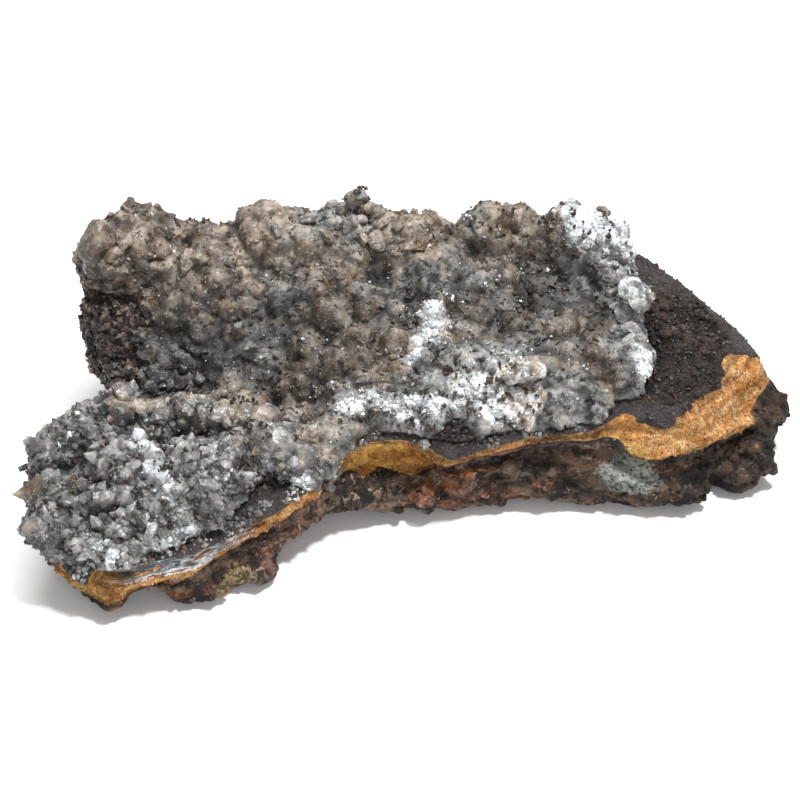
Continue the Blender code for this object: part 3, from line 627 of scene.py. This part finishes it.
def ironstone_rock(look):
    """The rock: the CAD solid with an arched hollow, and relief for each bed along the normals.

    The skin gets slight waves, the dome grains, the ochre sandy ledges, the mass lumps and round pores."""
    points, normals, triangles = dense_copy("ironstone_matrix")
    at = beds(points)
    x, y = plan_of(points).T
    front = smooth(-normals[:, 1], 0.0, 0.5)
    step = ARCH[4] * at["hollow"] * smooth(x, -20, -14)
    for first, last, below, high, inward in RECESSES:
        along = smooth(x, first, first + 4) * smooth(-x, -last, 4 - last) * smooth(-y, 4, 8)
        step += inward * along * np.exp(-(((at["strata"][:, 2] / MM - below) / high) ** 4))
    points[:, 1] += step * front
    low_left = np.clip(np.interp(y, *np.array(LEFT_REACH).T) + 3.0 - x, 0, None) * smooth(-y, 30, 38)
    points[:, 0] += DRAWN_IN * low_left

    granular = at["granular"]
    skin, mass = 1 - smooth(at["bed"], 0.3, 0.7), smooth(at["bed"], 1.3, 1.7)
    sandy = (1 - skin) * (1 - mass)
    pores, _, _, _ = cells(points, 4.6, 21)
    pores += 0.3 * (1 - smooth(waves(points, 9.0, 23), -0.1, 0.3))
    crumbs, _, _, _ = cells(points, 2.3, 31)
    ledges = 0.6 * waves(points * (0.3, 0.3, 2.2), 2.0, 41) + 0.35 * waves(points, 1.6, 43) - 0.55
    lumpy = 1.3 * waves(points * (0.5, 0.5, 1.2), 4.5, 51, 3) - 1.5 * smooth(0.36 - pores, 0.0, 0.2)
    lumpy += 0.5 - crumbs
    knobbly = 1.7 * waves(points, 5.0, 63, 3) + 1.1 * (0.5 - crumbs) - 0.5
    knobbly -= PIT[3] * np.exp(-((x - PIT[0]) ** 2 + (y - PIT[1]) ** 2) / PIT[2] ** 2)
    push = skin * ((1 - granular) * 0.35 * waves(points, 2.0, 61, 3) + granular * knobbly)
    push += sandy * ledges + mass * lumpy
    # Painted shade in the hollows of the relief and painted light on its rises, put into the shade colour.
    hills = skin * granular * (knobbly + 0.5) + 1.6 * sandy * (ledges + 0.5) + mass * (lumpy + 0.3)
    at["shade"] *= np.clip(1 + 0.5 * hills, 0.35, 1.4)
    points += normals * push[:, None]
    notch = NOTCH[2] * np.exp(-(((x - NOTCH[0]) / NOTCH[1]) ** 4)) * smooth(-y, 33, 40)
    points[:, 2] = np.maximum(points[:, 2], notch)
    rock = mesh_of("ironstone_rock", points, triangles, at, look, flat=False)
    at["height"] = push
    return rock, points, normals_of(rock), at


def tints(points, seed):
    """How smoky, frosted and bare the crust is at points, how much painted shade and darker tone it gets, and
    how much of the lobe or the plate.
    """
    x, y = plan_of(points).T
    lobe = smooth(-y - 0.35 * (x + 50), 10.0, 18.0)
    mottle = 0.3 * waves(points, 6.0, seed + 20)
    smoke = np.clip(0.8 * patches(points, SMOKE, seed) + 0.5 * (1 - lobe) + mottle, 0, 1)
    smoke *= 1 - patches(points, CLEAR, seed + 4)
    frost = patches(points, FROST, seed + 1)
    bare = smooth(patches(points, BARE, seed + 3, 1.0), 0.4, 0.6)
    gloom = patches(points, PAINTED_SHADE_AND_TONE, seed + 2) * (1 - 0.7 * frost)
    at_x, at_y, wide, deep, _ = PLATE
    across = np.hypot((x - at_x) / wide, (y - at_y) / deep)
    plate = 1 - smooth(across + 0.16 * waves(points * (1, 1, 0), 3.5, 109), 0.9, 1.0)
    smoke = smoke * (1 - plate) + 0.75 * plate
    frost = frost * (1 - plate) + 0.42 * plate
    gloom = gloom * (1 - plate)
    return dict(smoke=smoke, frost=frost, gloom=gloom, lobe=lobe, bare=bare, plate=plate)


def rosettes(points):
    """Round mounds on the plan: their rise, their crests, the way out from their middles, rays and tags.

    They are those of MOUNDS and two sizes of cells. Each rises as a sphere does, and a crest is how near its
    own middle is."""
    leant = points + points[:, 2:] * LEANT
    near, second, step, tag = cells(leant, 7.0, 71, flat=True)
    near_small, second_small, step_small, _ = cells(leant, 3.1, 73, flat=True)
    rise = 4.2 * (np.sqrt(np.clip(1.15 - near**2, 0, 1)) - 0.8)
    crest = smooth(second - near, 0.0, 0.45)
    plan, random = plan_of(points), np.random.default_rng(17)
    for x, y, wide, deep, number, radius in MOUNDS:
        middles = (x, y) + random.normal(size=(number, 2)) * 0.55 * (wide, deep)
        radii = radius * random.uniform(0.7, 1.3, number)
        close = np.abs(plan - (x, y)).max(1) < 2 * max(wide, deep) + 2 * radius
        ball = np.clip(1 - ((plan[close, None] - middles) ** 2).sum(2) / radii**2, 0, 1)
        raised = (1.25 * np.sqrt(ball) * radii).max(1) - 0.9
        crest[close] = np.where(raised > rise[close], smooth(ball.max(1), 0.0, 0.5), crest[close])
        rise[close] = np.maximum(rise[close], raised)
    rise += 1.2 * (np.sqrt(np.clip(1.15 - near_small**2, 0, 1)) - 0.8)
    crest = 0.78 * crest + 0.22 * smooth(second_small - near_small, 0.0, 0.35)
    ways = unit(step * (1, 1, 0)) + 0.25 * unit(step_small * (1, 1, 0))
    fan = np.column_stack([ways[:, :2], 9 * tag]) * MM
    return dict(rise=rise, crest=crest, outward=step * (1, 1, 0) / 3.5, fan=fan, tag=tag)


def lit(at):
    """Painted light and shade of crystals: light on crests, shade in gaps between mounds and in shaded
    patches, less where frosted.
    """
    return (1.16 - 0.9 * (1 - at["crest"]) * (1 - 0.4 * at["frost"])) * (1 - 0.9 * at["gloom"])


def druse_bed(look):
    """The crust under its crystals: the CAD solid with the rosettes raised along its normals."""
    points, normals, triangles = dense_copy("chalcedony_crust")
    top = smooth(normals[:, 2], -0.5, 0.2)
    at = {**tints(points, 101), **rosettes(points)}
    facets, _, _, _ = cells(points, 1.4, 79)
    push = at["rise"] + 0.4 * (0.5 - facets) - 2.8 * at["gloom"]
    push = push * (1 - 0.8 * at["bare"]) - 0.8 * at["bare"]
    push += at["plate"] * (PLATE[4] - push)
    plan = plan_of(points)
    floor = skin_height(plan) + 0.7
    points += normals * (top * push)[:, None]
    points[:, 2] = np.where(top > 0.5, np.clip(points[:, 2], floor, HIGHEST - 1.8), points[:, 2])
    points[:, 2] -= 0.8 * smooth(-normals[:, 2], 0.2, 0.9)
    points[:, 1] += 1.3 * smooth(-normals[:, 1], 0.1, 0.6) * waves(points * (1, 0.3, 0.3), 3.5, 87, 3)
    points[:, 0] += DRAWN_IN * np.clip(np.interp(plan[:, 1], *np.array(LEFT_REACH).T) - plan[:, 0], 0, None)
    # Painted light and shade from lit, a little random tone, and the plate's own pale cream.
    at["shade"] = lit(at) * (1 + 0.12 * waves(points, 1.5, 77)) * (1 - at["plate"]) + 1.4 * at["plate"]
    at["glint"] = smooth(waves(points, 0.9, 78), 0.45, 0.6)
    shown = {key: at[key] for key in ("smoke", "frost", "bare", "shade", "fan", "glint")}
    druse = mesh_of("druse_bed", points, triangles, shown, look, flat=False)
    return druse, points, normals_of(druse), at


def crystal_form(sides, levels):
    """Points and triangles of a crystal in a unit box: rings as wide as each level says, or a tip."""
    turn = np.arange(sides) * 2 * math.pi / sides
    ring = np.stack([np.cos(turn), np.sin(turn)], axis=1) / 2
    rings, starts, faces = [], [], []
    for wide, height in levels:
        starts.append(sum(len(r) for r in rings))
        edge = np.column_stack([ring * wide, np.full(sides, height)])
        rings.append(edge if wide else edge[:1])
    here, after = np.arange(sides), (np.arange(sides) + 1) % sides
    for (wide, _), (wide_above, _), low, high in zip(levels, levels[1:], starts, starts[1:]):
        if wide:
            faces.append(np.stack([low + here, low + after, high + after * bool(wide_above)], 1))
        if wide_above:
            faces.append(np.stack([low + here * bool(wide), high + after, high + here], 1))
    fan, last = np.arange(1, sides - 1), starts[-1]
    if levels[0][0]:
        faces.append(np.stack([fan * 0, fan + 1, fan], 1))
    if levels[-1][0]:
        faces.append(np.stack([fan * 0, fan, fan + 1], 1) + last)
    return np.concatenate(rings), np.concatenate(faces)


BLOCK = crystal_form(4, ((0.9, -0.5), (1.0, 0.25), (0.6, 0.5)))
BLADE = crystal_form(4, ((0.7, -0.5), (1.0, 0.15), (0.4, 0.5)))
POINT = crystal_form(6, ((0.85, -0.5), (1.0, 0.1), (0, 0.5)))
GRAIN = crystal_form(4, ((0, -0.5), (1.0, 0.0), (0, 0.5)))
NODULE = crystal_form(6, ((0, -0.5), (0.9, -0.2), (0.8, 0.25), (0, 0.5)))
LATITUDES = np.linspace(-math.pi / 2, math.pi / 2, 15)[1:-1]
BALL = crystal_form(22, ((0, -1), *((2 * math.cos(turn), math.sin(turn)) for turn in LATITUDES), (0, 1)))


def scattered(form, places, upward, sizes, random, tilt, aside=None):
    """Copies of a form, one at each place, stood along upward with some tilt, its x side turned to aside."""
    points, triangles = form
    points = np.broadcast_to(points, (len(places), *points.shape[-2:]))
    upward = unit(upward + tilt * random.normal(size=upward.shape))
    noise = random.normal(size=upward.shape)
    aside = noise if aside is None else aside + tilt * noise
    across = unit(np.cross(upward, aside))
    frames = np.stack([np.cross(across, upward), across, upward], axis=1)
    made = np.einsum("npk,nk,nkj->npj", points, sizes, frames) + places[:, None]
    numbers = triangles[None] + (np.arange(len(places)) * points.shape[1])[:, None, None]
    return made.reshape(-1, 3), numbers.reshape(-1, 3)


def joined(parts):
    """Several sets of points, triangles and attributes as one."""
    points, triangles, attributes = zip(*parts)
    starts = np.cumsum([0, *map(len, points[:-1])])
    numbers = [some + start for some, start in zip(triangles, starts)]
    attributes = {key: np.concatenate([at[key] for at in attributes]) for key in attributes[0]}
    return np.concatenate(points), np.concatenate(numbers), attributes


def repeated(values, form):
    """Attributes of places, repeated for the points of the form that stands on each."""
    return {key: np.repeat(value, form[0].shape[-2], axis=0) for key, value in values.items()}


def crystals(name, look, bed, kinds, count, wanted, seed, spread=0.1, tilt=0.2):
    """Small crystals on the bed. They lean outwards from the middle of their mound, blades edge-on to it.

    kinds gives, for each form, its share and its sizes; wanted says how likely a crystal is at each point,
    and spread how much their shades differ."""
    points, normals, at = bed
    random = np.random.default_rng(seed)
    likely = wanted * (at["bare"] < 0.5) * (normals[:, 2] > -0.45)
    chosen = random.permutation(np.flatnonzero(random.random(len(points)) < likely))[:count]
    pick = random.random(len(chosen))
    parts, low = [], 0.0
    for form, share, shape in kinds:
        mine = chosen[(pick >= low) & (pick < low + share)]
        low += share
        grow = 0.9 + 0.5 * (at["tag"][mine] - 0.5)
        # Painted sparkle: a few tiny crystals, in clusters, painted white and bright in place of glints.
        painted_sparkle = 0.01 + 0.6 * smooth(waves(points[mine], 3.0, 205), 0.42, 0.6)
        painted_sparkle = random.random(len(mine)) < painted_sparkle
        size = np.clip(random.lognormal(0.0, 0.35, len(mine)), 0.5, 2.0) * grow * np.where(painted_sparkle, 0.6, 1.0)
        sizes = size[:, None] * np.array(shape) * random.uniform(0.8, 1.2, (len(mine), 3))
        outward = at["outward"][mine]
        upward = unit(normals[mine] + 0.45 * outward)
        aside = np.cross(upward, outward) if form is BLADE else None
        sunk = points[mine] - upward * sizes[:, 2:] * (0.34 if form is BLADE else 0.24)
        sunk += random.normal(size=sunk.shape) * 0.2
        made, triangles = scattered(form, sunk, upward, sizes, random, tilt, aside)
        values = {key: at[key][mine] for key in ("smoke", "frost", "gloom")}
        values["frost"] = np.maximum(values["frost"], 0.9 * painted_sparkle)
        values["glint"] = 1.0 * (random.random(len(mine)) < 0.3)
        values["own"] = np.clip(random.normal(1.0, spread, len(mine)), 0.5, 1.5)
        values = repeated(values, form)
        where = rosettes(made)
        values["fan"] = where["fan"]
        # Painted light on the crystals' tips and painted shade at their roots, with the painted shade of lit
        # and each crystal's own tone.
        painted_tip_light_root_shade = np.tile(0.9 + 0.35 * form[0][:, 2], len(mine))
        values["shade"] = lit({**values, "crest": where["crest"]}) * values.pop("own") * painted_tip_light_root_shade
        # The painted sparkle crystals stay bright whatever shade is painted around them.
        painted_sparkle_points = np.repeat(painted_sparkle, form[0].shape[-2])
        values["shade"] = np.where(painted_sparkle_points, np.maximum(values["shade"], 1.2), values["shade"])
        values["bare"] = 0 * values.pop("gloom")
        parts.append((made, triangles, values))
    points, triangles, attributes = joined(parts)
    return mesh_of(name, points, triangles, attributes, look, flat=True)


def faceted(count, pairs, random):
    """Crystals of unit size. In each direction from its middle, one ends where it meets a random plane.

    The planes come in pairs, on opposite sides of the middle and at their own distances."""
    directions, triangles = unit(BALL[0]), BALL[1]
    faces = unit(random.normal(size=(count, pairs, 3)))
    reach = random.uniform(0.3, 0.5, (count, pairs))
    toward = np.abs(np.einsum("pk,nfk->npf", directions, faces)) / reach[:, None]
    return directions * np.minimum(1 / toward.max(2), 0.72)[..., None], triangles


def standing_on(tree, plan):
    """Where vertical lines over plan points first meet a surface from above, and its normals there."""
    hits = [tree.ray_cast(Vector((*(p + PLAN_ZERO), 90.0)) * MM, Vector((0, 0, -1)))[:2] for p in plan]
    return [(np.array(place) / MM, np.array(normal)) for place, normal in hits if place]


def larger_crystals(look, druse):
    """Groups of larger crystals on the druse, scattered in ellipses, and the long blades."""
    tree = BVHTree.FromObject(druse, bpy.context.evaluated_depsgraph_get())
    random = np.random.default_rng(31)
    parts = []
    for kind, x, y, wide, deep, number, size, smoke, frost, shade in GROUPS:
        pairs, shape, lean, out = KINDS[kind]
        spread = random.normal(size=(number, 2)) * 0.55 * (wide, deep)
        places, normals = (np.array(values) for values in zip(*standing_on(tree, spread + (x, y))))
        form = faceted(len(places), pairs, random) if pairs else POINT
        sizes = size * random.uniform(0.7, 1.3, (len(places), 1)) * np.array(shape)
        sizes *= random.uniform(0.85, 1.15, (len(places), 3))
        tilt = 0.45 if kind in ("point", "petal") else 0.2
        raised = places + out * size * normals
        points, triangles = scattered(form, raised, normals + lean, sizes, random, tilt)
        middles = np.repeat(places, form[0].shape[-2], axis=0)
        points += unit(points - middles) * (0.03 * size * waves(points, 0.3 * size, 91))[:, None]
        values = dict(smoke=smoke, frost=frost, shade=shade, glint=0.6, bare=0.0)
        values = {key: value * random.uniform(0.75, 1.25, len(places)) for key, value in values.items()}
        values["frost"] = np.maximum(values["frost"], patches(places, FROST, 102))
        # Painted shade on the points that stand in the patches of painted shade and darker tone.
        values["shade"] *= 1 - 0.5 * patches(places, PAINTED_SHADE_AND_TONE, 103) * (kind == "point")
        values = repeated(values, form)
        # Painted light on each crystal's upper part and painted shade on its lower part.
        above = (points - middles)[:, 2] / size
        values["shade"] = values["shade"] * (0.85 + 0.7 * np.clip(above, -0.5, 0.5))
        values["fan"] = 0.7 * unit(points - middles) * MM
        parts.append((points, triangles, values))
    for x, y, z, long, wide, thick, turn, rise in BLADES:
        turn, rise = math.radians(turn), math.radians(rise)
        point = np.array([[math.cos(rise) * math.cos(turn), math.cos(rise) * math.sin(turn), math.sin(rise)]])
        places, sizes = np.array([[x + PLAN_ZERO[0], y + PLAN_ZERO[1], z]]), np.array([[thick, wide, long]])
        points, triangles = scattered(POINT, places, point, sizes, random, 0.03, np.array([BLADE_SIDE]))
        values = dict(smoke=0.9, frost=0.1, shade=0.95, glint=0.5, bare=0.0)
        values = {key: np.full(len(points), value) for key, value in values.items()}
        parts.append((points, triangles, {**values, "fan": 0.2 * points * (1, 1, 5) * MM}))
    points, triangles, attributes = joined(parts)
    piece = mesh_of("larger_crystals", points, triangles, attributes, look, flat=True)
    return piece, points, normals_of(piece)


def grown_over(name, look, form, points, normals, attributes, chosen, sizes, seed, tilt=0.5, flat=True):
    """Copies of a form standing on chosen points of a surface, with that surface's attributes."""
    random = np.random.default_rng(seed)
    shape = random.uniform(0.7, 1.3, (len(chosen), 3)) * sizes[:, None]
    made, triangles = scattered(form, points[chosen], normals[chosen], shape, random, tilt)
    values = {key: value[chosen] for key, value in attributes.items() if key != "height"}
    values["shade"] = values.get("shade", 1.0) * random.uniform(0.6, 1.25, len(chosen))
    return mesh_of(name, made, triangles, repeated(values, form), look, flat)


def area_light(name, place, size, power):
    data = bpy.data.lights.new(name, "AREA")
    data.shape = "DISK"
    data.size = size
    data.energy = power
    light = placed(name, data)
    light.location = place
    light.rotation_euler = (LIGHTS_AIM - Vector(place)).to_track_quat("-Z", "Y").to_euler()


def studio():
    """A white floor, soft white light all round and a small key light for the sparkle."""
    floor = placed("floor", bpy.data.meshes.new("floor"))
    corners = [(FLOOR_SIDE * x, FLOOR_SIDE * y, 0) for x, y in ((-1, -1), (1, -1), (1, 1), (-1, 1))]
    floor.data.from_pydata(corners, [], [(0, 1, 2, 3)])
    look = Look("white_floor")
    white = look.shaded((255, 255, 255), look.noise(900, 1) * 0.02 + 0.93)
    floor.data.materials.append(look.finish(white, 0.9))
    world = bpy.data.worlds.new("studio")
    bpy.context.scene.world = world
    world.use_nodes = True
    background = world.node_tree.nodes["Background"].inputs
    background["Color"].default_value = (1.0, 1.0, 1.0, 1.0)
    background["Strength"].default_value = ALL_ROUND_LIGHT
    for light in LIGHTS:
        area_light(*light)
    bpy.context.scene.view_settings.view_transform = "Standard"


def camera():
    data = bpy.data.cameras.new("camera")
    data.lens = LENS
    made = placed("camera", data)
    aim = Vector((*PLAN_ZERO, AIM_HEIGHT)) * MM
    tilt = math.radians(ELEVATION)
    made.location = aim + DISTANCE * MM * Vector((0, -math.cos(tilt), math.sin(tilt)))
    made.rotation_euler = (aim - made.location).to_track_quat("-Z", "Y").to_euler()
    bpy.context.scene.camera = made


def rock_pieces(ironstone, dark):
    """The rock, the grains of its dome and wall, the sand on its ochre and the nodules on its brown mass."""
    rock, points, normals, at = ironstone_rock(ironstone)
    random = np.random.default_rng(4)
    fate = random.random(len(points))
    x, y = plan_of(points).T
    wall, bed, height = x < 0, at["bed"], at["height"]
    skin = (bed < 0.5) & (at["granular"] < 0.5) & (normals[:, 2] > 0.2) & (fate < 0.1)
    bare = np.flatnonzero((at["granular"] > 0.5) & (fate < 0.3) | skin)[:9000]
    sizes = random.uniform(0.6, 1.3, len(bare)) * np.where(wall[bare], 1.9, 1.1)
    sizes = sizes * np.where(skin[bare], 0.7, 1.0)
    # Painted light on the grains that stand higher and painted shade on the lower ones, with a random tone,
    # more varied on the wall.
    shades = {"shade": np.clip(1 + 0.55 * height, 0.4, 1.7) * random.lognormal(0.1, 0.1 + 0.55 * wall)}
    grains = grown_over("goethite_grains", dark, GRAIN, points, normals, shades, bare, sizes, 5, 0.8)

    def on_rock(name, form, chosen, sizes, seed, **options):
        return grown_over(name, ironstone, form, points, normals, at, chosen, sizes, seed, **options)

    lumps = np.flatnonzero((at["granular"] > 0.5) & (fate > 0.8 + 0.15 * wall) & (height > -0.6))[:1900]
    sizes = random.lognormal(0.5, 0.35, len(lumps))
    balls = on_rock("goethite_lumps", NODULE, lumps, sizes, 6, tilt=0.6, flat=False)
    sandy = np.flatnonzero((bed > 0.8) & (bed < 1.2) & (y < 14) & (fate < 0.35))[:4000]
    sand = on_rock("ochre_sand", GRAIN, sandy, random.uniform(0.35, 0.75, len(sandy)), 7)
    bumps = np.flatnonzero((bed > 1.8) & (normals[:, 2] > -0.6) & (points[:, 2] > 2.5) & (fate < 0.06))[:1500]
    sizes = random.lognormal(0.2, 0.35, len(bumps))
    nodules = on_rock("rust_nodules", NODULE, bumps, sizes, 8, tilt=0.3, flat=False)
    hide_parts("ironstone_matrix")
    return [rock, grains, balls, sand, nodules], (points, normals, at)


def fringe(points, normals, rock_at):
    """The rock's skin where small crystals grow on it: its points, normals and tints there."""
    there = (patches(points, FRINGE, 211) > 0.4) & (rock_at["bed"] < 0.6) & (normals[:, 2] > 0.1)
    there &= waves(points, 2.5, 213) > -0.25
    points, normals = points[there], normals[there]
    at = {**tints(points, 101), **rosettes(points)}
    at["bare"] = at["bare"] * 0
    return points, normals, at


def druse_pieces(smoky, frosted, dark, rock_surface):
    """The druse bed, its small crystals, the larger ones and the dark specks among them."""
    druse, *bed = druse_bed(smoky)
    points, normals, at = bed
    white = smooth(at["frost"], 0.3, 0.6) * (1 - at["plate"])
    blades = (BLADE, 0.6, (0.4, 1.6, 1.4)), (POINT, 0.4, (0.8, 0.8, 1.0))
    stout = (BLOCK, 0.5, (1.3, 1.1, 1.4)), (POINT, 0.5, (1.0, 1.0, 1.5))
    large = (POINT, 0.6, (1.5, 1.4, 2.4)), (BLOCK, 0.4, (1.8, 1.4, 1.9))
    sugar = (POINT, 0.6, (0.75, 0.75, 1.2)), (BLOCK, 0.4, (0.9, 0.8, 1.1))
    body = (1 - white) * (1 - at["lobe"]) * (1 - at["plate"])
    lumpy, lump_points, lump_normals = larger_crystals(smoky, druse)
    pieces = [
        lumpy,
        crystals("smoky_blades", smoky, bed, blades, 4400, 0.2 * body, 1, 0.08),
        crystals("smoky_points", smoky, bed, stout, 2200, 0.12 * body, 2, 0.15),
        crystals("lobe_crystals", smoky, bed, large, 4200, 0.5 * (1 - white) * at["lobe"], 4, 0.24, 0.4),
        crystals("frosted_crystals", frosted, bed, sugar, 8300, 0.75 * white, 3, 0.2, 0.35),
        crystals("fringe_crystals", smoky, fringe(*rock_surface), stout, 1500, 0.6, 12, 0.2),
    ]
    random = np.random.default_rng(6)
    bare = np.concatenate([at["bare"], np.zeros(len(lump_points))])
    points, normals = np.concatenate([points, lump_points]), np.concatenate([normals, lump_normals])
    likely = patches(points, SPECKLED, 201) * (normals[:, 2] > 0) * smooth(waves(points, 1.8, 203), 0.2, 0.4)
    likely = np.maximum(likely, 0.8 * bare)
    spots = np.flatnonzero(random.random(len(points)) < 0.4 * likely)
    lifted = points + normals * 0.5
    sizes = random.uniform(0.6, 1.35, len(spots))
    specks = grown_over("goethite_specks", dark, GRAIN, lifted, normals, {}, spots, sizes, 9)
    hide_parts("chalcedony_crust")
    return [druse, *pieces], specks


def main():
    camera()
    studio()
    ironstone = ironstone_look()
    smoky = crystal_look("smoky_crystal", transmission_weight=0.35)
    frosted = crystal_look("frosted_crystal", transmission_weight=0.1)
    dark = goethite_look()
    rocky, rock_surface = rock_pieces(ironstone, dark)
    grown, specks = druse_pieces(smoky, frosted, dark, rock_surface)
    for piece in [*rocky, *grown, specks]:
        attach(piece, "root")


main()
